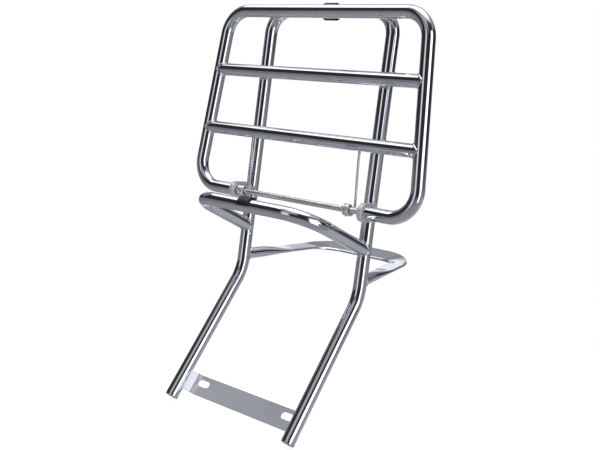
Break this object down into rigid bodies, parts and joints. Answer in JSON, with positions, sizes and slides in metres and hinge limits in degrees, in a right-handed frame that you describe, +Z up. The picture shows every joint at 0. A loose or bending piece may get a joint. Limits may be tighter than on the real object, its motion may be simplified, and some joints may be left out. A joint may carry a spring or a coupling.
{
  "type": "folding luggage rack",
  "caption": "Fold-down tubular luggage rack for the tail of a scooter: an upright frame with a sprung carrier grid, support hoop, rear loop and slotted mounting strip.",
  "frame": {"origin": "centre of the mounting strip's back face, the flat that bears on the scooter's bracket", "axes": "+X across the rack, +Y towards the scooter, +Z up along the upright legs; drawn with the carrier folded up"},
  "size_m": [0.3454, 0.2723, 0.5003],
  "materials": {
    "chrome": "bright chrome plate on steel tube and strip",
    "zinc": "dull zinc plate",
    "spring_steel": "drawn spring wire, zinc plated",
    "rubber": "matt black moulded rubber",
    "bush": "natural nylon"
  },
  "bodies": {
    "frame": {"frame_tube": "chrome", "hoop_tube": "chrome", "rear_loop": "chrome", "mounting_plate": "chrome", "hinge_eye_left": "chrome", "hinge_eye_right": "chrome", "hinge_rod": "zinc", "hinge_washer_left": "zinc", "hinge_washer_right": "zinc", "spring_coil_left": "spring_steel", "spring_coil_right": "spring_steel", "leg_end_cap_left": "chrome", "leg_end_cap_right": "chrome", "top_buffer": "rubber", "hoop_buffer": "rubber"},
    "carrier": {"carrier_tube": "chrome", "cross_bar_lower": "chrome", "cross_bar_upper": "chrome", "stub_bush_left": "bush", "stub_bush_right": "bush", "spring_arm_left": "spring_steel", "spring_arm_right": "spring_steel"}
  },
  "joints": [
    {"name": "carrier_fold", "type": "hinge", "parent": "frame", "child": "carrier", "pos_m": [0, 0.05042, 0.24083], "axis": [1, 0, 0], "range_deg": [0, 85.7], "stiffness_Nm_per_rad": 4, "springref_deg": -11.46}
  ]
}
